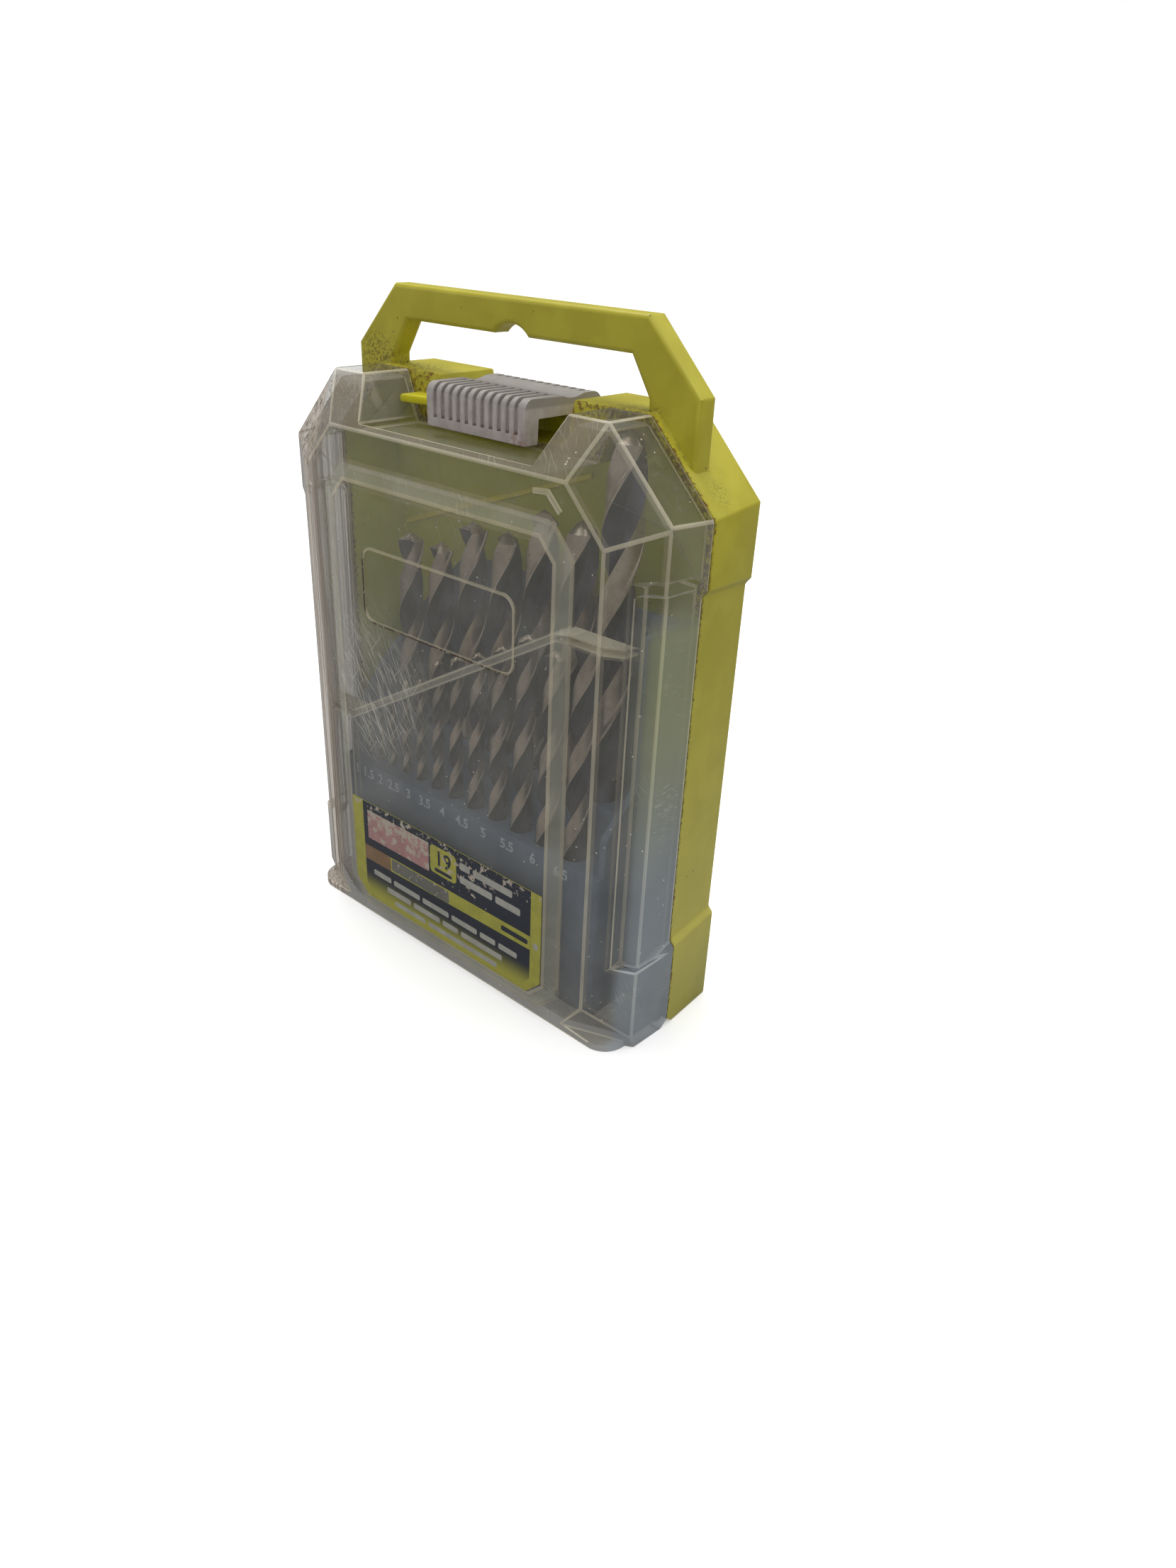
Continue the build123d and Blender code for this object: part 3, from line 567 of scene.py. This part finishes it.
def copied(node, name, materials, round_mm, segments=2, choose=None, edge_material=-1, inner=-1):
    """A CAD node's shape as a clean mesh with its longer edges rounded, in place of the node.

    The rounded edges that stand out get edge_material, and those in corners get inner.
    """
    bm = bmesh.new()
    bm.from_mesh(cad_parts[node].data)
    bmesh.ops.remove_doubles(bm, verts=bm.verts, dist=0.05 * MM)
    bmesh.ops.dissolve_limit(
        bm,
        angle_limit=math.radians(0.6),
        use_dissolve_boundaries=False,
        verts=bm.verts,
        edges=bm.edges,
    )
    bm.normal_update()
    for face in bm.faces:
        face.material_index = choose(face) if choose else 0
    rounded_edges(bm, round_mm, segments, inner, False)
    rounded_edges(bm, round_mm, segments, edge_material, True)
    bmesh.ops.remove_doubles(bm, verts=bm.verts, dist=0.01 * MM)
    soften(bm, math.radians(32))
    piece = to_object(name, bm, materials)
    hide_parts(node)
    return piece


# ---------------------------------------------------------------- shell, cover, latch, rack and pins


def cover_face(face):
    """Which look a face of the cover gets before its edges are rounded."""
    centre = face.calc_center_median() / MM
    if centre.y < PANEL_Y - 0.05:
        return FRAME_FACE
    if centre.y < BORDER_Y - 0.02 and centre.z > BEAD_LOW_Z:
        return EDGE_FACE
    if centre.z > RECESS_Z + 0.2 and abs(centre.x) < CATCH_HALF_WIDTH:
        return CATCH_FACE
    if abs(face.normal.z) > 0.6 and SHELF_LOW_Z < centre.z < SHELF_HIGH_Z and centre.y < SHELF_BACK_Y:
        return SHELF_FACE
    if face.normal.z > 0.6:
        return TOP_FACE
    tilted = 0.2 < abs(face.normal.y) < 0.97
    if tilted and centre.y < BORDER_Y + 1.2 and abs(centre.x) < PANEL_HALF_WIDTH:
        return BAND_FACE
    return CLEAR_FACE


def shell_face(face):
    """Which look a face of the shell gets: 0 outside, 1 inside the tray, which has a brightened copy of the
    green as painted light.
    """
    centre = face.calc_center_median() / MM
    if centre.z >= HOLLOW_TOP_Z:
        return 0
    back = face.normal.y < -0.7 and centre.y > HOLLOW_Y
    inward = face.normal.x * centre.x < 0 and abs(face.normal.y) < 0.5
    side = inward and INNER_SIDE_X < abs(centre.x) < OUTER_SIDE_X
    return 1 if back or side else 0


RIDGE_LINE = ((-57.5, 110.2), (-36, 118.2), (-14.4, 125.9), (13.8, 136.1))
RIDGE_DEPTH = 0.6
RIDGE_FOOT = 0.9


def ridge_mesh():
    """A low rising ridge on the tray's inner wall, coloured as a painted highlight."""
    bm = bmesh.new()
    rings = []
    for x, z in RIDGE_LINE:
        corners = (
            (WALL_Y, z - RIDGE_FOOT),
            (WALL_Y - RIDGE_DEPTH, z - RIDGE_DEPTH),
            (WALL_Y - RIDGE_DEPTH, z + RIDGE_DEPTH),
            (WALL_Y, z + RIDGE_FOOT),
        )
        rings.append([bm.verts.new(Vector((x, y, height)) * MM) for y, height in corners])
    for low, high in zip(rings, rings[1:]):
        for corner in range(4):
            after = (corner + 1) % 4
            bm.faces.new((low[corner], low[after], high[after], high[corner]))
    bm.faces.new(rings[0])
    bm.faces.new(rings[-1])
    bmesh.ops.recalc_face_normals(bm, faces=bm.faces)
    return bm


shell = copied("back_shell", "back_shell_detailed", [GREEN, GREEN_INSIDE_LIT], 0.45, choose=shell_face)
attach(shell, "tray")

# Painted highlight: the ridge is near-white yellow, brighter than the green, for the light caught along it
RIDGE = plain_look("shell_ridge_painted_highlight", rgb(255, 240, 40), rgb(250, 232, 36), 300, 0.45)
ridge_piece = to_object("tray_ridge", ridge_mesh(), [RIDGE])
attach(ridge_piece, "tray")

cover_looks = [CLEAR, BAND, EDGE, FRAME_LINE, INNER_EDGE, TOP, CATCH, SHELF]
cover = copied(
    "front_cover",
    "front_cover_detailed",
    cover_looks,
    0.5,
    choose=cover_face,
    edge_material=EDGE_FACE,
    inner=INNER_EDGE_FACE,
)
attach(cover, "cover")

latch = copied("latch", "latch_detailed", [LATCH], 0.3, 3)
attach(latch, "latch")

rack = copied("bit_rack", "bit_rack_detailed", [RACK], 0.35)
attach(rack, "rack")

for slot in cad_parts["hinge_pins"].material_slots:
    slot.material = PIN
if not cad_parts["hinge_pins"].material_slots:
    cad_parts["hinge_pins"].data.materials.append(PIN)


# ---------------------------------------------------------------- drills

# A cross-section, in degrees from the middle of a land, and radii as shares of the drill's own
LAND_ANGLE = 38
MARGIN_ANGLE = 30
SECTION_ANGLES = [-38, -30, -18, -6, 6, 18, 29.5, 30.5, 38, 42, 48, 58, 72, 90, 108, 122, 132, 138]
LAND_EDGES = (0, 7, 8)
WEB = 0.3
CLEARANCE = 0.93

# Along a drill
STEP_TURN = 11.0
RUNOUT_STEPS = 5
POINT_HALF_ANGLE = 59
END_CHAMFER = 0.06
FIRST_FLUTE_RING = 4


def section_reach(angle):
    """Radius of a drill's cross-section at an angle, as a share of its full radius."""
    local = (angle + 90) % 180 - 90
    if MARGIN_ANGLE < local <= LAND_ANGLE:
        return 1.0
    if -LAND_ANGLE <= local <= MARGIN_ANGLE:
        return CLEARANCE
    off = (abs(local) - LAND_ANGLE) / (90 - LAND_ANGLE)
    return WEB + (CLEARANCE - WEB) * (1 - math.sin(off * math.pi / 2) ** 0.8)


def drill_rings(size, angles):
    """A drill's cross-sections from its shank to its point, each a list of radius, angle and height."""
    length, flute_length = LENGTHS[size]
    radius = size / 2
    point_height = radius / math.tan(math.radians(POINT_HALF_ANGLE))
    start = length - flute_length
    body = flute_length - point_height
    twist = 360 * body / (PITCH_RATIO * size)
    steps = math.ceil(twist / STEP_TURN)
    rings = []
    for height, share in ((0, 0.86), (END_CHAMFER * size, 1.0), (start, 1.0)):
        rings.append([(radius * share, angle, height) for angle in angles])
    for step in range(steps + 1):
        turn = twist * step / steps
        runout = min(1.0, step / RUNOUT_STEPS + 0.15)
        height = start + 0.02 + body * step / steps
        ring = []
        for angle in angles:
            reach = 1 + (section_reach(angle) - 1) * runout
            ring.append((radius * reach, angle + turn, height))
        rings.append(ring)
    for share, height in ((0.55, 0.45), (0.12, 0.94)):
        ring = []
        for angle in angles:
            reach = min(share, section_reach(angle))
            lift = height - 0.1 * abs(math.sin(math.radians(angle)))
            ring.append((radius * reach, angle + twist, start + body + point_height * lift))
        rings.append(ring)
    return rings


def drill_object(size, origin):
    """A twist drill with ground margins, smooth flutes and a split point."""
    angles = SECTION_ANGLES + [angle + 180 for angle in SECTION_ANGLES]
    count = len(angles)
    bm = bmesh.new()
    lengthwise = Vector((0, math.sin(LEAN), math.cos(LEAN)))
    sideways = Vector((0, math.cos(LEAN), -math.sin(LEAN)))
    loops = []
    for ring in drill_rings(size, angles):
        loop = []
        for reach, angle, height in ring:
            heading = math.radians(angle)
            across = Vector((1, 0, 0)) * (reach * math.cos(heading)) + sideways * (reach * math.sin(heading))
            loop.append(bm.verts.new((origin + across + lengthwise * height) * MM))
        loops.append(loop)
    point_ring = len(loops) - 3
    for number, (low, high) in enumerate(zip(loops, loops[1:])):
        for corner in range(count):
            after = (corner + 1) % count
            face = bm.faces.new((low[corner], low[after], high[after], high[corner]))
            # Painted shade: flute and shank faces take the dark steel copy, the lands the lighter one
            dark = number < FIRST_FLUTE_RING or corner % len(SECTION_ANGLES) >= LAND_EDGES[-1]
            face.material_index = 1 if number >= point_ring else 2 if dark else 0
    bm.faces.new(reversed(loops[0]))
    bm.faces.new(loops[-1]).material_index = 1
    bmesh.ops.recalc_face_normals(bm, faces=bm.faces)
    for face in bm.faces:
        face.smooth = True
    for number, (low, high) in enumerate(zip(loops, loops[1:])):
        for corner in range(count):
            if number >= FIRST_FLUTE_RING and corner % len(SECTION_ANGLES) in LAND_EDGES:
                bm.edges.get((low[corner], high[corner])).smooth = False
            if number in (0, 1, point_ring, point_ring + 1):
                bm.edges.get((low[corner], low[(corner + 1) % count])).smooth = False
    name = f"drill_bit_{size:.1f}".replace(".", "_")
    piece = to_object(name + "_detailed", bm, [STEEL, GROUND, FLUTE])
    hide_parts(name)
    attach(piece, "rack")


def drill_origin(x, depth, base_z):
    """Middle of a drill's lower end, in a row that leans back."""
    return Vector((x, PARTING_Y - depth + (base_z - ROW_LEVEL_Z) * math.tan(LEAN), base_z))


def front_row_places(sizes):
    """Where the front row's drills stand along x, with the same gap between neighbours."""
    places = [FRONT_INSET - RACK_HALF_WIDTH]
    for before, size in zip(sizes, sizes[1:]):
        places.append(places[-1] + (before + size) / 2 + FRONT_GAP)
    return places


sizes = list(LENGTHS)
front_sizes = sizes[:FRONT_COUNT]
front_places = front_row_places(front_sizes)
for number, (size, x) in enumerate(zip(front_sizes, front_places)):
    base_z = FRONT_BASE_Z - FRONT_DROP * number / (FRONT_COUNT - 1)
    drill_object(size, drill_origin(x, FRONT_ROW_DEPTH, base_z))
for number, size in enumerate(sizes[FRONT_COUNT:]):
    base_z = LARGEST_BASE_Z if size == sizes[-1] else REAR_BASE_Z
    x = REAR_INSET - RACK_HALF_WIDTH + REAR_SPACING * number
    drill_object(size, drill_origin(x, REAR_ROW_DEPTH, base_z))


# ---------------------------------------------------------------- size numbers on the rack

NUMBER_Z = 44.2
NUMBER_SIZE = 4.2
LETTER_WEIGHT = 0.015


def number_meshes(entries, name, material, thickness, flat_y):
    """Plain numbers standing on a face that looks to the front, as one mesh."""
    whole = bmesh.new()
    for text, x, z, size in entries:
        curve = bpy.data.curves.new(name, "FONT")
        curve.body = text
        curve.size = size * MM
        curve.extrude = thickness * MM / 2
        curve.offset = size * LETTER_WEIGHT * MM
        curve.align_x = "CENTER"
        curve.align_y = "CENTER"
        letter = bpy.data.objects.new(name + "_source", curve)
        mesh = bpy.data.meshes.new_from_object(letter)
        turn = Matrix.Rotation(math.radians(90), 4, "X")
        mesh.transform(Matrix.Translation(Vector((x, flat_y - thickness / 2, z)) * MM) @ turn)
        whole.from_mesh(mesh)
        bpy.data.objects.remove(letter)
        bpy.data.meshes.remove(mesh)
    return to_object(name, whole, [material])


DIGITS = plain_look("digit_print", rgb(226, 233, 238), rgb(206, 215, 224), 900, 0.5)
labels = [(f"{size:g}", x, NUMBER_Z, NUMBER_SIZE) for size, x in zip(front_sizes, front_places)]
numbers = number_meshes(labels, "size_numbers", DIGITS, 0.06, RACK_FACE_Y)
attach(numbers, "rack")


# ---------------------------------------------------------------- label

# Depths of the label's thin layers, from its film to its printed count
FIELD_Y = PANEL_Y - 0.16
PRINT_Y = PANEL_Y - 0.18
BAR_Y = PANEL_Y - 0.19
COUNT_Y = PANEL_Y - 0.2
FILM_THICK = 0.16
FIELD_THICK = 0.02
PRINT_THICK = 0.01

NAVY = rgb(44, 50, 62)
LIME = rgb(186, 182, 78)

# The label's outlines, in x and z
LABEL_OUTLINE = [(-38, 40.5), (-38, 12.7), (-33, 7.7), (33, 7.7), (38, 12.7), (38, 40.5)]
FIELD_OUTLINE = [(-33.4, 40.5), (-33.4, 12.6), (-29.6, 8.6), (30.6, 8.6), (34.3, 12.6), (34.3, 40.5)]
BAND_OUTLINE = [(-33.4, 25.8), (-33.4, 20.9), (34.3, 22.1), (34.3, 26.4)]
BAND_END_OUTLINE = [(-33.4, 25.8), (-33.4, 20.9), (-21.8, 21.1), (-21.8, 25.9)]
PATCH_OUTLINE = [(-31.5, 38.0), (-31.5, 28.6), (-5.0, 28.8), (-5.0, 38.2)]


def film(name, outline, back_y, thick, material):
    """Thin flat piece with the given outline in x and z, facing the front."""
    bm = bmesh.new()
    back = [bm.verts.new(Vector((x, back_y, z)) * MM) for x, z in outline]
    front = [bm.verts.new(Vector((x, back_y - thick, z)) * MM) for x, z in outline]
    bm.faces.new(back)
    bm.faces.new(front)
    for corner in range(len(outline)):
        after = (corner + 1) % len(outline)
        bm.faces.new((back[corner], back[after], front[after], front[corner]))
    bmesh.ops.recalc_face_normals(bm, faces=bm.faces)
    piece = to_object(name, bm, [material])
    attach(piece, "cover")
    return piece


def rounded(x0, z0, x1, z1, radius, steps=5):
    """Outline of a rectangle with round corners."""
    outline = []
    for cx, cz, first in ((x1, z1, 0), (x0, z1, 90), (x0, z0, 180), (x1, z0, 270)):
        mx = cx - radius if cx == x1 else cx + radius
        mz = cz - radius if cz == z1 else cz + radius
        for step in range(steps + 1):
            angle = math.radians(first + 90 * step / steps)
            outline.append((mx + radius * math.cos(angle), mz + radius * math.sin(angle)))
    return outline


navy_look = film_look("label_navy", NAVY, 0.02, (LIME, 8.5, 17))
lime_look = film_look("label_lime", LIME)
brown_look = film_look("label_brown", rgb(148, 116, 84), 0.05)
grey_look = film_look("label_grey", rgb(122, 120, 112), 0.12)
pink_look = film_look("label_pink", rgb(188, 142, 138), 0.13)
dark_look = film_look("label_number", NAVY)
bar_look = film_look("label_bars", rgb(186, 184, 174), -0.1)
small_look = film_look("label_small_bars", NAVY, -0.1)

base = film("label_film", LABEL_OUTLINE, PANEL_Y, FILM_THICK, lime_look)
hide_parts("label")
film("label_field", FIELD_OUTLINE, FIELD_Y, FIELD_THICK, navy_look)
film("label_band", BAND_OUTLINE, PRINT_Y, PRINT_THICK, lime_look)
film("label_band_end", BAND_END_OUTLINE, BAR_Y, PRINT_THICK, brown_look)
film("label_band_bar", rounded(-21.4, 21.6, 3.1, 25.6, 0.8), BAR_Y, PRINT_THICK, grey_look)
film("label_patch", PATCH_OUTLINE, PRINT_Y, PRINT_THICK, pink_look)
film("label_badge", rounded(-4.4, 29.4, 6.2, 38.4, 1.4), PRINT_Y, 0.015, lime_look)
count = number_meshes([("19", 0.9, 34.6, 6.6)], "label_count", dark_look, 0.02, COUNT_Y)
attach(count, "cover")

# Plain bars in place of the label's words: left, low, right, high and look
bars = [
    (7.6, 35.2, 11.6, 37.4, bar_look),
    (12.8, 35.2, 27.6, 37.4, bar_look),
    (7.6, 30.9, 20.2, 33.1, bar_look),
    (21.4, 30.9, 30.6, 33.1, bar_look),
    (-2.6, 30.2, 4.4, 31.3, small_look),
    (23.6, 23.3, 33.4, 24.9, small_look),
    (-29.8, 16.6, -22.0, 18.4, bar_look),
    (-20.8, 16.6, -9.4, 18.4, bar_look),
    (-8.2, 16.6, 2.8, 18.4, bar_look),
    (4.0, 16.6, 14.2, 18.4, bar_look),
    (15.4, 16.6, 21.4, 18.4, bar_look),
    (22.6, 16.6, 29.6, 18.4, bar_look),
    (-24.0, 12.9, -13.4, 14.7, bar_look),
    (-12.2, 12.9, -1.0, 14.7, bar_look),
    (0.2, 12.9, 6.6, 14.7, bar_look),
    (7.8, 12.9, 24.0, 14.7, bar_look),
    (-20.6, 9.6, -7.2, 11.2, bar_look),
    (-6.0, 9.6, 22.0, 11.2, bar_look),
]
for number, (x0, z0, x1, z1, look_used) in enumerate(bars):
    film(f"label_bar_{number}", rounded(x0, z0, x1, z1, 0.5, 3), PRINT_Y, 0.035, look_used)

# A small worn spot on the label's right border, with uneven corners
SPOT_ANGLES = (0.2, 1.3, 2.2, 3.3, 4.4, 5.5)
spot = [(36.3 + 1.0 * math.cos(angle), 24.0 + 1.2 * math.sin(angle)) for angle in SPOT_ANGLES]
film("label_spot", spot, FIELD_Y, FIELD_THICK, bar_look)


# ---------------------------------------------------------------- floor, light and camera


def floor_object():
    """Plain floor that the camera sees nearly white and that sends grey light back to the case."""
    half = 3
    mesh = bpy.data.meshes.new("floor")
    corners = [(-half, -half, 0), (half, -half, 0), (half, half, 0), (-half, half, 0)]
    mesh.from_pydata(corners, [], [(0, 1, 2, 3)])
    piece = bpy.data.objects.new("floor", mesh)
    piece.location.z = -0.05 * MM
    bpy.context.scene.collection.objects.link(piece)
    look = Look("floor_pale")
    seen = look.tree.nodes.new("ShaderNodeLightPath").outputs["Is Camera Ray"]
    tone = look.blend(seen, rgb(150, 150, 150), rgb(247, 247, 246))
    glow = look.math("MULTIPLY", seen, 0.35)
    look.finish(Base_Color=tone, Roughness=0.85, Emission_Color=(1, 1, 1, 1), Emission_Strength=glow)
    mesh.materials.append(look.material)
    return piece


# Where the studio's light comes from, and its levels towards and away from there
LIGHT_FROM = (0.28, -0.05, 1.0)
LIGHT_LEVELS = (("From Min", 0.25), ("From Max", 1.0), ("To Min", 0.2), ("To Max", 1.7))


def studio_world():
    """White surroundings whose light falls mostly from above."""
    world = bpy.data.worlds.new("studio")
    world.use_nodes = True
    tree = world.node_tree
    seen = tree.nodes["Background"]
    seen.inputs[0].default_value = (1.0, 1.0, 1.0, 1.0)
    direction = tree.nodes.new("ShaderNodeTexCoord").outputs["Generated"]
    towards = tree.nodes.new("ShaderNodeVectorMath")
    towards.operation = "DOT_PRODUCT"
    towards.inputs[1].default_value = Vector(LIGHT_FROM).normalized()
    tree.links.new(direction, towards.inputs[0])
    strength = tree.nodes.new("ShaderNodeMapRange")
    tree.links.new(towards.outputs["Value"], strength.inputs["Value"])
    for name, level in LIGHT_LEVELS:
        strength.inputs[name].default_value = level
    lit = tree.nodes.new("ShaderNodeBackground")
    tree.links.new(strength.outputs[0], lit.inputs[1])
    rays = tree.nodes.new("ShaderNodeLightPath")
    mixed = tree.nodes.new("ShaderNodeMixShader")
    tree.links.new(rays.outputs["Is Camera Ray"], mixed.inputs[0])
    tree.links.new(lit.outputs[0], mixed.inputs[1])
    tree.links.new(seen.outputs[0], mixed.inputs[2])
    tree.links.new(mixed.outputs[0], tree.nodes["World Output"].inputs[0])
    return world


def area_light(name, place, target, size, power):
    """Soft round lamp that looks at a target."""
    lamp = bpy.data.lights.new(name, "AREA")
    lamp.shape = "DISK"
    lamp.size = size
    lamp.energy = power
    holder = bpy.data.objects.new(name, lamp)
    holder.location = place
    holder.rotation_euler = (Vector(target) - Vector(place)).to_track_quat("-Z", "Y").to_euler()
    bpy.context.scene.collection.objects.link(holder)


# The camera: its turn, tilt and roll in radians, place in millimetres and focal length
YAW = 0.695
PITCH = 0.492
ROLL = 0.049
CAMERA_PLACE = (193.87, -192.21, 197.60)
FOCAL_LENGTH = 25.14
SENSOR_HEIGHT = 36.0


def camera_object():
    """The camera at its place, with its axes from yaw, pitch and roll."""
    forward = Vector((-math.sin(YAW) * math.cos(PITCH), math.cos(YAW) * math.cos(PITCH), -math.sin(PITCH)))
    level = Vector((math.cos(YAW), math.sin(YAW), 0))
    rise = level.cross(forward)
    right = math.cos(ROLL) * level + math.sin(ROLL) * rise
    up = -math.sin(ROLL) * level + math.cos(ROLL) * rise
    axes = Matrix((right, up, -forward)).transposed().to_4x4()
    lens = bpy.data.cameras.new("camera")
    lens.sensor_fit = "VERTICAL"
    lens.sensor_height = SENSOR_HEIGHT
    lens.lens = FOCAL_LENGTH
    lens.clip_start = 0.01
    piece = bpy.data.objects.new("camera", lens)
    piece.matrix_world = Matrix.Translation(Vector(CAMERA_PLACE) * MM) @ axes
    bpy.context.scene.collection.objects.link(piece)
    return piece


floor = floor_object()
bpy.context.scene.world = studio_world()
area_light("top_light", (-0.25, 0.15, 0.95), (0, 0, 0.1), 0.6, 3.2)
area_light("side_light", (-0.9, -0.7, 0.5), (0, 0, 0.08), 0.5, 0.9)
bpy.context.scene.camera = camera_object()
bpy.context.scene.view_settings.view_transform = "Standard"
bpy.context.scene.cycles.transparent_max_bounces = 40

bpy.context.view_layer.update()
